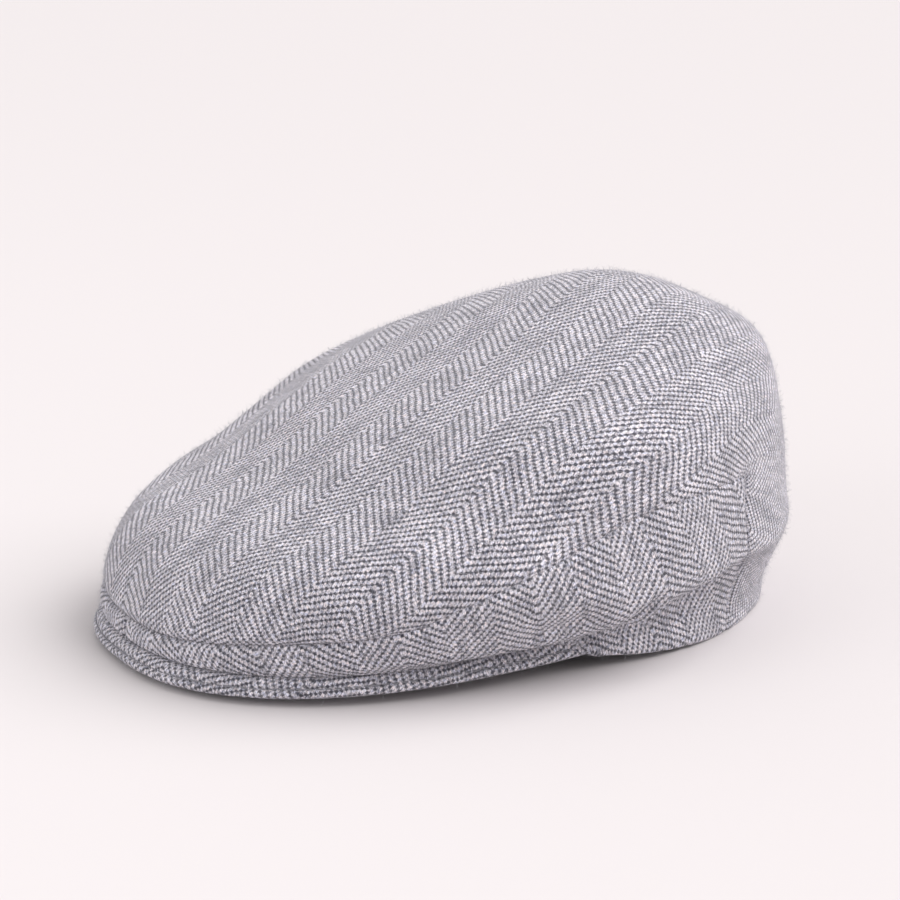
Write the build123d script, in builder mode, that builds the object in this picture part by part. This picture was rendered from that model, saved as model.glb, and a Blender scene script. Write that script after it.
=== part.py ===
"""Flat cap in herringbone tweed: one-piece top, two side panels and a short stiff peak.

Millimetres.  Origin at the middle of the head opening, on the plane the rim rests on.
+Z is up, the peak points to -Y, +X is the wearer's left.
"""

from build123d import *
import os
from math import cos, pi, sin

os.makedirs("parts", exist_ok=True)

# ---- head opening: the fitted outline that everything hangs from ----
opening_half_width = 83.5
opening_half_length = 105.5
opening_y_wide = -12.0
opening_fullness = 2.1

# ---- crown shape: one plan outline per height ----
# (height, front y, back y, half width, y of the widest place, fullness of the back)
crown_levels = [
    (0.0, -144.0, 105.5, 83.5, -12.0, 2.1),
    (10.0, -149.0, 112.0, 97.5, -12.0, 2.0),
    (20.0, -148.0, 114.5, 104.0, -8.0, 1.9),
    (40.0, -137.0, 115.5, 111.5, -7.0, 1.8),
    (60.0, -100.5, 115.5, 106.5, 4.0, 1.8),
    (80.0, -69.5, 109.5, 102.0, 6.0, 1.8),
    (100.0, -26.0, 104.0, 75.0, 22.0, 1.9),
    (112.0, 5.0, 86.0, 48.5, 43.0, 2.0),
    (119.0, 27.0, 70.0, 30.0, 48.0, 2.0),
    (122.5, 43.0, 54.0, 8.0, 48.5, 2.0),
]
crown_front_fullness = 2.4

# ---- cloth thicknesses, as the scale of each skin about the origin ----
tweed_inner_scale = 0.976
lining_outer_scale = 0.974
lining_inner_scale = 0.965

# ---- seams in side view (y, z): along the side, then down behind the ear ----
seam_front_z = 14.5
side_seam = [
    (-146.0, 16.5),
    (-130.0, 20.0),
    (-100.0, 22.8),
    (-84.0, 26.0),
    (-70.0, 35.0),
    (-50.0, 44.0),
    (-28.0, 51.0),
    (4.0, 61.0),
    (45.0, 64.5),
]
back_seam_foot_y = 55.0

# ---- lower edge of the side panels, turned in over the peak and at the notch behind it ----
turn_in_thickness = 2.0
turn_in_front_y = -98.0
hem_inner_scale = 0.995

# ---- rim behind the peak (y, z): off the table at the notch, down on it towards the back ----
rim_curve = [(-14.0, 5.6), (2.0, 4.0), (18.0, 2.3), (34.0, 1.1), (47.0, 0.4), (60.0, 0.0)]

# ---- peak ----
peak_front_y = -154.5
peak_end_y = -14.0
peak_half_width = 91.0
peak_y_wide = -38.0
peak_fullness = 2.4
peak_front_z = 1.8
peak_rise_angle = 2.5
peak_arch_radius = 4000.0
peak_thickness = 6.4
under_cover_thickness = 2.0
board_thickness = 2.0
board_inset = 5.0
topstitch_inset = 2.2
thread_width = 0.7
thread_depth = 0.5

# ---- sweatband and label inside the opening ----
band_outer_scale = 0.960
band_inner_scale = 0.943
band_height = 29.8
band_bottom_back_z = 1.2
band_bottom_notch_z = 6.8
band_bottom_front_z = 5.0
label_inner_scale = 0.9365
label_half_width = 12.0
label_bottom_z = 9.0
label_height = 14.0

reach = 160.0


def plan_points(y_front, y_back, half_width, y_wide, front_full, back_full, scale=1.0, count=28):
    """Closed plan outline: two half super-ellipses that meet at the widest place."""
    points = []
    for i in range(count):
        angle = 2 * pi * i / count
        c = -cos(angle)
        s = sin(angle)
        fullness = front_full if c > 0 else back_full
        length = y_wide - y_front if c > 0 else y_back - y_wide
        along = (abs(c) ** (2 / fullness)) * length * (-1 if c > 0 else 1)
        across = (abs(s) ** (2 / fullness)) * half_width * (1 if s > 0 else -1)
        points.append((across * scale, (y_wide + along) * scale))
    return points


def opening_points(scale):
    return plan_points(
        -opening_half_length,
        opening_half_length,
        opening_half_width,
        opening_y_wide,
        opening_fullness,
        opening_fullness,
        scale,
    )


def crown_dome(scale):
    """Solid dome through the crown outlines, shrunk about the origin."""
    with BuildPart() as dome:
        for z, y_front, y_back, half_width, y_wide, back_full in crown_levels:
            outline = plan_points(
                y_front, y_back, half_width, y_wide, crown_front_fullness, back_full, scale
            )
            with BuildSketch(Plane.XY.offset(z * scale)):
                with BuildLine():
                    Spline(*outline, periodic=True)
                make_face()
        loft()
    return dome.part


def opening_prism(scale, bottom, height):
    """Upright prism whose plan is the head opening."""
    with BuildPart() as prism:
        with BuildSketch(Plane.XY.offset(bottom)):
            with BuildLine():
                Spline(*opening_points(scale), periodic=True)
            make_face()
        extrude(amount=height)
    return prism.part


def arched_slab(low, high):
    """Slab curved across the cap and rising to the back, between two heights in the peak."""
    rise = Plane((0, -170, 0), x_dir=(-1, 0, 0), z_dir=(0, 1, 0)).rotated((peak_rise_angle, 0, 0))
    drop = (170 + peak_front_y) * sin(peak_rise_angle * pi / 180)
    start = Plane((0, -170, peak_front_z + drop), x_dir=rise.x_dir, z_dir=rise.z_dir)
    with BuildPart() as slab:
        with BuildSketch(start):
            with Locations((0, -peak_arch_radius)):
                Circle(peak_arch_radius + high)
                Circle(peak_arch_radius + low, mode=Mode.SUBTRACT)
            Rectangle(2 * reach, 120, mode=Mode.INTERSECT)
        extrude(amount=170 + peak_end_y + 30)
        with BuildSketch(Plane.XZ.offset(-peak_end_y)):
            Rectangle(2 * reach, 2 * reach)
        extrude(amount=-60, mode=Mode.SUBTRACT)
    return slab.part


def peak_prism(inset):
    """Upright crescent between the peak's outer edge and the front of the opening."""
    outer = [
        (x, y)
        for x, y in plan_points(
            peak_front_y + inset,
            -peak_y_wide,
            peak_half_width - inset,
            peak_y_wide,
            peak_fullness,
            peak_fullness,
            count=40,
        )
        if y < peak_end_y - inset
    ]
    outer.sort(key=lambda p: (p[0] > 0, -p[1] if p[0] < 0 else p[1]))
    end = (peak_half_width - inset - 0.2, peak_end_y - inset)
    outer = [(-end[0], end[1])] + outer + [end]
    with BuildPart() as prism:
        with BuildSketch(Plane.XY.offset(-20)):
            with BuildLine():
                Spline(*outer)
                Line(outer[-1], outer[0])
            make_face()
            with BuildLine():
                Spline(*opening_points(1.0), periodic=True)
            make_face(mode=Mode.SUBTRACT)
        extrude(amount=60)
    return prism.part


def top_region():
    """Everything above the side seam and behind the back seam, cut from the side view."""
    with BuildPart() as region:
        with BuildSketch(Plane.YZ.offset(-reach)):
            with BuildLine():
                Line((-200, seam_front_z), side_seam[0])
                Spline(*side_seam)
                Line(side_seam[-1], (back_seam_foot_y, -5))
                Polyline((back_seam_foot_y, -5), (200, -5), (200, 200), (-200, 200))
                Line((-200, 200), (-200, seam_front_z))
            make_face()
        extrude(amount=2 * reach)
    return region.part


def under_rim(lift=0.0):
    """Everything under the rim curve behind the notch, moved up by lift."""
    curve = [(y, z + lift) for y, z in rim_curve]
    with BuildPart() as region:
        with BuildSketch(Plane.YZ.offset(-reach)):
            with BuildLine():
                Spline(*curve)
                Polyline(curve[-1], (curve[-1][0], -10), (curve[0][0], -10), curve[0])
            make_face()
        extrude(amount=2 * reach)
    return region.part


def side_turn_in(dome):
    """Cloth turned in under the side bulge: a shelf over the peak, one along the rim, a web between."""
    shelf_middle = (turn_in_front_y + peak_end_y) / 2
    with BuildPart() as turn_in:
        add(dome)
        add(opening_prism(hem_inner_scale, -5, 60), mode=Mode.SUBTRACT)
        add(arched_slab(peak_thickness, peak_thickness + turn_in_thickness), mode=Mode.INTERSECT)
        with Locations((0, shelf_middle, reach / 2)):
            Box(2 * reach, peak_end_y - turn_in_front_y, 2 * reach, mode=Mode.INTERSECT)
    with BuildPart() as web:
        add(dome)
        add(opening_prism(hem_inner_scale, -5, 60), mode=Mode.SUBTRACT)
        with Locations((0, peak_end_y + turn_in_thickness / 2, 0)):
            Box(2 * reach, turn_in_thickness, 31, mode=Mode.INTERSECT)
    with BuildPart() as hem:
        add(dome)
        add(opening_prism(hem_inner_scale, -5, 60), mode=Mode.SUBTRACT)
        add(under_rim(turn_in_thickness), mode=Mode.INTERSECT)
    return turn_in.part + web.part + hem.part


def half_space(side):
    """Big block on one side of the middle plane of the cap; side is +1 or -1."""
    with BuildPart() as block:
        with Locations((side * reach / 2, 0, reach / 2)):
            Box(reach, 3 * reach, 2 * reach)
    return block.part


outer_dome = crown_dome(1.0)
tweed_hollow = crown_dome(tweed_inner_scale)
lining_dome = crown_dome(lining_outer_scale)
lining_hollow = crown_dome(lining_inner_scale)
turned_in = side_turn_in(outer_dome)
above_seam = top_region()
below_rim = under_rim()
below_hem = under_rim(turn_in_thickness)
left_half = half_space(1)
right_half = half_space(-1)
under_crown = arched_slab(-60, peak_thickness)
under_shelf = arched_slab(-60, peak_thickness + turn_in_thickness)
peak_outline = peak_prism(0)
board_outline = peak_prism(board_inset)

# ---- crown in tweed: one top panel that runs down the back, two side panels ----
with BuildPart() as top_panel:
    add(outer_dome)
    add(tweed_hollow, mode=Mode.SUBTRACT)
    add(above_seam, mode=Mode.INTERSECT)
    add(under_crown, mode=Mode.SUBTRACT)

with BuildPart() as left_side_panel:
    add(outer_dome)
    add(tweed_hollow, mode=Mode.SUBTRACT)
    add(turned_in)
    add(above_seam, mode=Mode.SUBTRACT)
    add(under_crown, mode=Mode.SUBTRACT)
    add(below_rim, mode=Mode.SUBTRACT)
    add(left_half, mode=Mode.INTERSECT)

with BuildPart() as right_side_panel:
    add(outer_dome)
    add(tweed_hollow, mode=Mode.SUBTRACT)
    add(turned_in)
    add(above_seam, mode=Mode.SUBTRACT)
    add(under_crown, mode=Mode.SUBTRACT)
    add(below_rim, mode=Mode.SUBTRACT)
    add(right_half, mode=Mode.INTERSECT)

# ---- lining: same three pieces, just inside the tweed ----
with BuildPart() as lining_top:
    add(lining_dome)
    add(lining_hollow, mode=Mode.SUBTRACT)
    add(above_seam, mode=Mode.INTERSECT)
    add(under_crown, mode=Mode.SUBTRACT)

with BuildPart() as lining_left_side:
    add(lining_dome)
    add(lining_hollow, mode=Mode.SUBTRACT)
    add(turned_in, mode=Mode.SUBTRACT)
    add(above_seam, mode=Mode.SUBTRACT)
    add(under_shelf, mode=Mode.SUBTRACT)
    add(below_hem, mode=Mode.SUBTRACT)
    add(left_half, mode=Mode.INTERSECT)

with BuildPart() as lining_right_side:
    add(lining_dome)
    add(lining_hollow, mode=Mode.SUBTRACT)
    add(turned_in, mode=Mode.SUBTRACT)
    add(above_seam, mode=Mode.SUBTRACT)
    add(under_shelf, mode=Mode.SUBTRACT)
    add(below_hem, mode=Mode.SUBTRACT)
    add(right_half, mode=Mode.INTERSECT)

# ---- peak: stiff board wrapped by an upper and an under cover ----
with BuildPart() as peak_board:
    add(board_outline)
    add(arched_slab(under_cover_thickness, under_cover_thickness + board_thickness), mode=Mode.INTERSECT)

with BuildPart() as stitch_ring:
    add(peak_prism(topstitch_inset))
    add(peak_prism(topstitch_inset + thread_width), mode=Mode.SUBTRACT)

with BuildPart() as peak_upper_topstitch:
    add(stitch_ring.part)
    add(arched_slab(peak_thickness - thread_depth, peak_thickness), mode=Mode.INTERSECT)

with BuildPart() as peak_lower_topstitch:
    add(stitch_ring.part)
    add(arched_slab(0, thread_depth), mode=Mode.INTERSECT)

with BuildPart() as peak_top_cover:
    add(peak_outline)
    add(arched_slab(under_cover_thickness, peak_thickness), mode=Mode.INTERSECT)
    add(peak_board.part, mode=Mode.SUBTRACT)
    add(peak_upper_topstitch.part, mode=Mode.SUBTRACT)

with BuildPart() as peak_under_cover:
    add(peak_outline)
    add(arched_slab(0, under_cover_thickness), mode=Mode.INTERSECT)
    add(peak_lower_topstitch.part, mode=Mode.SUBTRACT)

# ---- sweatband: a standing ring whose lower edge follows the rim ----
band_foot = [
    (reach, band_bottom_back_z),
    (rim_curve[-1][0], band_bottom_back_z),
    (rim_curve[0][0], band_bottom_notch_z),
    (-reach, band_bottom_front_z),
]
with BuildPart() as band_zone:
    with BuildSketch(Plane.YZ.offset(-reach)):
        with BuildLine():
            Polyline(*band_foot, *[(y, z + band_height) for y, z in reversed(band_foot)], close=True)
        make_face()
    extrude(amount=2 * reach)

with BuildPart() as sweatband:
    add(opening_prism(band_outer_scale, -5, 60))
    add(opening_prism(band_inner_scale, -5, 60), mode=Mode.SUBTRACT)
    add(band_zone.part, mode=Mode.INTERSECT)

with BuildPart() as size_label:
    add(opening_prism(band_inner_scale, label_bottom_z, label_height))
    add(opening_prism(label_inner_scale, label_bottom_z, label_height), mode=Mode.SUBTRACT)
    with Locations((0, opening_half_length, label_bottom_z + label_height / 2)):
        Box(2 * label_half_width, 60, 40, mode=Mode.INTERSECT)

nodes = {
    "top_panel": top_panel,
    "left_side_panel": left_side_panel,
    "right_side_panel": right_side_panel,
    "lining_top": lining_top,
    "lining_left_side": lining_left_side,
    "lining_right_side": lining_right_side,
    "peak_top_cover": peak_top_cover,
    "peak_board": peak_board,
    "peak_under_cover": peak_under_cover,
    "peak_upper_topstitch": peak_upper_topstitch,
    "peak_lower_topstitch": peak_lower_topstitch,
    "sweatband": sweatband,
    "size_label": size_label,
}
for name, node in nodes.items():
    node.part.label = name
    export_step(node.part, f"parts/{name}.step")
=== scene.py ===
import math

import bpy
import numpy as np
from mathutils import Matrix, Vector


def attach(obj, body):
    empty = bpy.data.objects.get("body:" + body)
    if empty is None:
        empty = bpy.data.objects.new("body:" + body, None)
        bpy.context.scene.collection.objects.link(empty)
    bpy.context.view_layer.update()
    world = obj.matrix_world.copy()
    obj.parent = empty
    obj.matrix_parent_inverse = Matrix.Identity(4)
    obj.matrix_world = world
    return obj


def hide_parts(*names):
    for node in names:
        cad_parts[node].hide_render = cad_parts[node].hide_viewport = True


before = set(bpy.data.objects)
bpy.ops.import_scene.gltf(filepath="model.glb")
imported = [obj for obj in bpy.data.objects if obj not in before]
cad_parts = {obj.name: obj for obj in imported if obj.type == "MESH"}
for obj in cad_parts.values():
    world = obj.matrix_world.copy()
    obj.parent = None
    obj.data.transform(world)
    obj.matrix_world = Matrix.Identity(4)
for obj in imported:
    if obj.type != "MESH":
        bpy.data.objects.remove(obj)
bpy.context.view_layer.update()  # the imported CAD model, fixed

MM = 0.001
rng = np.random.default_rng(11)

# ------------------------------------------------------------------ small numeric helpers


def spow(v, p):
    return np.sign(v) * np.abs(v) ** p


def smoothstep(x, a, b):
    t = np.clip((x - a) / (b - a), 0, 1)
    return t * t * (3 - 2 * t)


def bump(x, centre, width):
    return np.exp(-(((x - centre) / width) ** 2))


def unit(v):
    return v / np.linalg.norm(v, axis=-1, keepdims=True)


def hermite(p, q, m, n, t):
    """Cubic from p to q with end slopes m and n, t from 0 to 1."""
    start = p * (1 + 2 * t) * (1 - t) ** 2 + m * t * (1 - t) ** 2
    return start + q * t * t * (3 - 2 * t) + n * t * t * (t - 1)


def monotone(x, y):
    """Monotone cubic through (x, y); y may hold several columns. Returns a function."""
    x = np.asarray(x, float)
    y = np.asarray(y, float)
    flat = y.reshape(len(x), -1)
    h = np.diff(x)[:, None]
    d = np.diff(flat, axis=0) / h
    m = np.zeros_like(flat)
    w1, w2 = 2 * h[1:] + h[:-1], h[1:] + 2 * h[:-1]
    same = d[1:] * d[:-1] > 0
    safe = np.where(same, d[:-1], 1), np.where(same, d[1:], 1)
    m[1:-1] = np.where(same, (w1 + w2) / (w1 / safe[0] + w2 / safe[1]), 0)
    m[0], m[-1] = d[0], d[-1]

    def f(q):
        q = np.asarray(q, float)
        k = np.clip(np.searchsorted(x, q, side="right") - 1, 0, len(x) - 2)
        hk = (x[k + 1] - x[k])[..., None]
        t = np.clip((q[..., None] - x[k][..., None]) / hk, 0, 1)
        out = hermite(flat[k], flat[k + 1], hk * m[k], hk * m[k + 1], t)
        return out.reshape(q.shape + y.shape[1:])

    return f


def noise(p, scale, seed, octaves=2):
    """Smooth value noise of points p (mm), features about scale mm across, from -1 to 1."""
    out = np.zeros(p.shape[:-1])
    amp = 1.0
    total = 0.0
    for o in range(octaves):
        q = p / (scale / 2**o) + 37.13 * (seed + o)
        i = np.floor(q).astype(np.int64)
        f = q - i
        f = f * f * f * (f * (f * 6 - 15) + 10)
        value = 0
        for corner in range(8):
            c = np.array([corner & 1, corner >> 1 & 1, corner >> 2 & 1])
            j = i + c
            h = j[..., 0] * 374761393 + j[..., 1] * 668265263 + j[..., 2] * 2147483647
            h = (h ^ (h >> 13)) * 1274126177
            r = ((h ^ (h >> 16)) & 0xFFFF) / 32767.5 - 1
            w = np.prod(np.where(c == 1, f, 1 - f), axis=-1)
            value = value + r * w
        out += amp * value
        total += amp
        amp *= 0.5
    return out / total


def normals_of(grid, wrap=False):
    """Unit normals of an (n, m, 3) grid."""
    if wrap:
        du = np.roll(grid, -1, 0) - np.roll(grid, 1, 0)
    else:
        du = np.gradient(grid, axis=0)
    dv = np.gradient(grid, axis=1)
    n = np.cross(du, dv)
    return n / np.maximum(np.linalg.norm(n, axis=-1, keepdims=True), 1e-9)


# ------------------------------------------------------------------ the shape of the cap (mm)

HEIGHT = 122.5
APEX_Y = 48.5
BACK_SEAM = 119.5  # meridian of the back seam
WARP = monotone([0, 26, 63, HEIGHT], [4.0, 1.0, -2.5, 0.0])

# height, front y, back y, half width, y of the widest place
LEVELS = np.array(
    [
        [0, -144.0, 105.5, 88.0, -12.0],
        [10, -151.0, 113.0, 96.5, -12.0],
        [20, -149.5, 114.8, 102.0, -8.0],
        [40, -139.5, 115.8, 111.3, -7.4],
        [60, -100.5, 115.8, 106.0, 4.0],
        [80, -69.5, 109.5, 102.3, 5.0],
        [100, -26.0, 106.0, 74.0, 22.0],
        [112, 3.0, 86.0, 48.0, 44.0],
    ]
)
level_z = np.append(LEVELS[:, 0], HEIGHT)
front2 = monotone(level_z, np.append((APEX_Y - LEVELS[:, 1]) ** 2, 0))
back2 = monotone(level_z, np.append((LEVELS[:, 2] - APEX_Y) ** 2, 0))
width2 = monotone(level_z, np.append(LEVELS[:, 3] ** 2, 0))
widest = monotone(level_z, np.append(LEVELS[:, 4], APEX_Y))


def theta_at(deg, z):
    """Meridian angle in radians, bent so that the back seam runs down and to the back."""
    a = np.where(deg > 180, 360 - deg, deg)
    a = a + bump(a, BACK_SEAM, 22) * WARP(z)
    return np.radians(np.where(deg > 180, 360 - a, a))


def dome(deg, z):
    """Point of the plain crown on meridian deg (0 front, 90 wearer's left) at height z."""
    z = np.clip(z, 0, HEIGHT)
    th = theta_at(deg, z)
    c, s = np.cos(th), np.sin(th)
    ym = widest(z)
    yf = APEX_Y - np.sqrt(np.maximum(front2(z), 0))
    yb = APEX_Y + np.sqrt(np.maximum(back2(z), 0))
    w = np.sqrt(np.maximum(width2(z), 0))
    low = np.clip((HEIGHT - z) / 60, 0, 1)
    n = np.where(c > 0, 2 + 0.45 * low, 2 - 0.28 * low * smoothstep(z, 22, 54))
    length = np.where(c > 0, ym - yf, yb - ym)
    return np.stack([w * spow(s, 2 / n), ym - length * spow(c, 2 / n), z + 0 * th], -1)


HALF_OPENING, OPEN_FRONT, OPEN_BACK = 83.5, 93.5, 117.5  # from the widest place, at OPEN_Y
OPEN_Y, OPEN_FULL = -12, 2.1


def opening(deg, scale=1.0):
    """Point of the head opening's outline on meridian deg, in plan."""
    th = theta_at(deg, np.zeros_like(deg, float))
    c, s = np.cos(th), np.sin(th)
    length = np.where(c > 0, OPEN_FRONT, OPEN_BACK)
    x, y = HALF_OPENING * spow(s, 2 / OPEN_FULL), OPEN_Y - length * spow(c, 2 / OPEN_FULL)
    return np.stack([x, y], -1) * scale


PEAK_THICK = 6.6
PEAK_TILT, PEAK_ARCH, PEAK_NOSE = 2.5, 8000, 1.8  # degrees, arch (mm), height of the front edge
PEAK_FRONT, PEAK_WIDE, PEAK_HALF, PEAK_END, PEAK_FULL = -154.5, -38.0, 91.0, -14.0, 2.4


def peak_under(x, y):
    """Height of the peak's underside: it rises to the back and is arched across."""
    return PEAK_NOSE + math.tan(math.radians(PEAK_TILT)) * (y - PEAK_FRONT) - x * x / PEAK_ARCH


def peak_outline(t):
    """Outer edge of the peak, t from -1 (right end) to 1 (left end)."""
    end = math.degrees(math.acos(-(((PEAK_END - PEAK_WIDE) / (PEAK_WIDE - PEAK_FRONT)) ** (PEAK_FULL / 2))))
    a = np.radians(t * end)
    c, s = np.cos(a), np.sin(a)
    x = PEAK_HALF * spow(s, 2 / PEAK_FULL)
    y = PEAK_WIDE - (PEAK_WIDE - PEAK_FRONT) * spow(c, 2 / PEAK_FULL)
    return np.stack([x, y], -1)


def peak_reach(start, direction):
    """Distance from start along direction to the peak's outer edge, in plan."""
    low = np.zeros(len(start))
    high = np.full(len(start), 80.0)
    for _ in range(40):
        mid = (low + high) / 2
        p = start + direction * mid[:, None]
        f = (np.abs(p[:, 0]) / PEAK_HALF) ** PEAK_FULL + (
            np.abs(p[:, 1] - PEAK_WIDE) / (PEAK_WIDE - PEAK_FRONT)
        ) ** PEAK_FULL
        inside = f < 1
        low = np.where(inside, mid, low)
        high = np.where(inside, high, mid)
    return low


# Lower part of the crown, from the hidden sewn edge up to the seam, at a few meridians.
# Each row is six nodes (offset from the base line, share of the way to the plain crown, height);
# in front of the notch heights count from the peak's top, behind it from the rim.
rim_lift = monotone([-200, -14, 2, 18, 34, 47, 60, 200], [5.6, 5.6, 4.0, 2.3, 1.1, 0.4, 0.0, 0.0])
SEAM_Z = monotone(
    [0, 14, 30, 42, 52, 60, 66, 73, 79, 84, 90, 104, 118, 150, 180],
    [12.4, 13.4, 16.9, 19.5, 21.5, 25.2, 33.0, 41.5, 48.5, 55.5, 60.5, 63.5, 64.5, 66, 67],
)
PROFILE_AT = [0, 30, 50, 62, 70, 78, 84, 90, 96, 104, 112, 118, 135, 180]
PROFILE = np.array(
    [
        [(-8, 0, -0.3), (-4.2, 0, 0.2), (-3.4, 0.3, 1.0), (-1.0, 1, 2.3), (0, 1, 3.6), (0, 1, 4.6)],
        [(-8, 0, -0.3), (-4.2, 0, 0.2), (-3.4, 0.4, 1.2), (0, 0.9, 3.4), (0, 1, 5.6), (0, 1, 7.6)],
        [(-8, 0, -0.3), (-4.2, 0, 0.2), (-3.2, 0.4, 1.6), (0, 0.85, 4.0), (0, 1, 6.6), (0, 1, 9.0)],
        [(-8, 0, -0.3), (-4.0, 0, 0.3), (-2.6, 0.3, 1.8), (0, 0.72, 4.0), (0, 0.95, 7.2), (0, 1, 10.5)],
        [(-8, 0, 0.0), (-4.0, 0, 0.8), (-1.0, 0.35, 1.9), (0, 0.78, 3.4), (0, 0.98, 8.0), (0, 1, 15)],
        [(-6, 0, 0.3), (-3.0, 0.05, 2.2), (0, 0.5, 2.6), (0, 0.88, 4.2), (0, 1, 11.0), (0, 1, 20)],
        [(-3, 0, -3.0), (-1.5, 0.05, 1.8), (0, 0.42, 3.6), (0, 0.88, 5.6), (0, 1, 12.5), (0, 1, 24)],
        [(0, 0, 1.2), (5.0, 0, 0.2), (2.8, 0, 6.5), (0, 0.36, 11.0), (0, 1.02, 14.5), (0, 1.03, 29)],
        [(0, 0, 1.2), (5.5, 0, 0.2), (3.0, 0, 11.0), (0, 0.28, 19.0), (0, 1.00, 22.5), (0, 1.03, 37)],
        [(0, 0, 1.0), (5.2, 0, 0.1), (3.4, 0, 13.5), (0, 0.30, 24.0), (0, 0.98, 28.5), (0, 1.02, 43)],
        [(0, 0, 1.0), (4.6, 0, 0.1), (4.0, 0, 13.0), (0, 0.42, 27.5), (0, 0.95, 34), (0, 1, 48)],
        [(0, 0, 1.0), (3.4, 0, 0.1), (4.2, 0, 11.0), (0, 0.56, 27.5), (0, 0.92, 38), (0, 1, 51)],
        [(0, 0, 1.0), (1.2, 0, 0.1), (2.6, 0, 9.0), (0, 0.62, 23.0), (0, 0.92, 36), (0, 1, 48)],
        [(0, 0, 0.8), (1.0, 0, 0.0), (2.2, 0, 9.0), (0, 0.62, 23.0), (0, 0.92, 36), (0, 1, 48)],
    ]
)
profile_at = monotone(PROFILE_AT, PROFILE)

N_THETA = 720
N_LOW = 97
N_TOP = 200


def catmull(points, per):
    """Centripetal Catmull-Rom through points (..., k, 3), per samples for each interval."""
    p = np.concatenate([2 * points[..., :1, :] - points[..., 1:2, :], points,
                        2 * points[..., -1:, :] - points[..., -2:-1, :]], axis=-2)
    step = np.maximum(np.linalg.norm(np.diff(p, axis=-2), axis=-1), 1e-6) ** 0.5
    out = []
    for k in range(points.shape[-2] - 1):
        p0, p1, p2, p3 = (p[..., k + i, :] for i in range(4))
        d0, d1, d2 = (step[..., k + i, None] for i in range(3))
        m1 = ((p1 - p0) / d0 - (p2 - p0) / (d0 + d1) + (p2 - p1) / d1) * d1
        m2 = ((p2 - p1) / d1 - (p3 - p1) / (d1 + d2) + (p3 - p2) / d2) * d1
        for i in range(per):
            out.append(hermite(p1, p2, m1, m2, i / per))
    out.append(points[..., -1, :])
    return np.stack(out, axis=-2)


def resample(lines, count):
    """Each line of (n, k, 3) resampled to count points evenly along its length."""
    d = np.linalg.norm(np.diff(lines, axis=1), axis=-1)
    s = np.concatenate([np.zeros((len(lines), 1)), np.cumsum(d, axis=1)], axis=1)
    out = np.empty((len(lines), count, 3))
    for i in range(len(lines)):
        q = np.linspace(0, s[i, -1], count)
        for a in range(3):
            out[i, :, a] = np.interp(q, s[i], lines[i, :, a])
    return out


def crown_grid():
    """Whole outer surface as meridians: (N_THETA, N_LOW + N_TOP - 1, 3), rim first, apex last."""
    deg = np.arange(N_THETA) * 360 / N_THETA
    side = np.where(deg > 180, 360 - deg, deg)
    rim = opening(deg)
    at20 = dome(deg, np.full(N_THETA, 20.0))[:, :2]
    gap = at20 - rim
    length = np.linalg.norm(gap, axis=1)
    out = gap / length[:, None]
    over_peak = peak_reach(rim, out)
    blend = smoothstep(side, 84, 91)
    base_d = over_peak * (1 - blend)
    prof = profile_at(side)
    nodes = []
    for k in range(6):
        off, q, z = prof[:, k, 0], prof[:, k, 1], prof[:, k, 2]
        base = rim + out * (base_d + off)[:, None]
        peak_top = peak_under(base[:, 0], base[:, 1]) + PEAK_THICK
        lift = rim_lift(rim[:, 1]) * np.clip(1 - z / 45, 0, 1)
        z = z + peak_top * (1 - smoothstep(side, 84, 90)) + lift * smoothstep(side, 84, 90)
        shell = dome(deg, np.maximum(z, 8))[:, :2]
        xy = base * (1 - q)[:, None] + shell * q[:, None]
        nodes.append(np.concatenate([xy, z[:, None]], axis=1))
    seam_z = SEAM_Z(side)
    nodes.append(dome(deg, seam_z))
    rows = 12
    for k in range(1, rows + 1):
        z = seam_z + (HEIGHT - seam_z) * math.sin(math.pi / 2 * k / rows)
        nodes.append(dome(deg, z))
    nodes = np.stack(nodes, axis=1)
    fine = catmull(nodes, 20)
    low = resample(fine[:, : 6 * 20 + 1], N_LOW)
    top = resample(fine[:, 6 * 20 :], N_TOP)
    grid = np.concatenate([low, top[:, 1:]], axis=1)
    start = N_LOW - 40
    for _ in range(120):
        grid[:, -1] = grid[:, -2].mean(axis=0)
        inner = grid[:, start:-1]
        grid[:, start:-1] += 0.25 * (grid[:, start - 1 : -2] + grid[:, start + 1 :] - 2 * inner)
    for _ in range(30):
        grid += 0.25 * (np.roll(grid, 1, 0) + np.roll(grid, -1, 0) - 2 * grid)
    return grid


class Skin:
    """A surface of the cap as meridians, with the row where its lower part meets the top."""

    def __init__(self, grid, low_rows):
        self.grid = grid
        self.low = low_rows
        self.last = grid.shape[1] - 1
        self.normals = normals_of(grid, wrap=True)
        self.normals[:, -1] = self.normals[:, -3].mean(axis=0)
        if self.normals[0, low_rows] @ np.array([0, -1, 0]) < 0:
            self.normals = -self.normals

    def at(self, deg, row):
        """Point and unit normal on meridian deg at a row that may lie between two."""
        f = (np.asarray(deg, float) % 360) / 360 * N_THETA
        i = np.floor(f).astype(int)
        a = (f - i)[..., None]
        j = np.clip(np.floor(row).astype(int), 0, self.last - 1)
        b = (row - j)[..., None]
        i0, i1 = i % N_THETA, (i + 1) % N_THETA

        def mix(g):
            return (g[i0, j] * (1 - a) * (1 - b) + g[i1, j] * a * (1 - b)
                    + g[i0, j + 1] * (1 - a) * b + g[i1, j + 1] * a * b)

        n = mix(self.normals)
        return mix(self.grid), unit(n)


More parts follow.
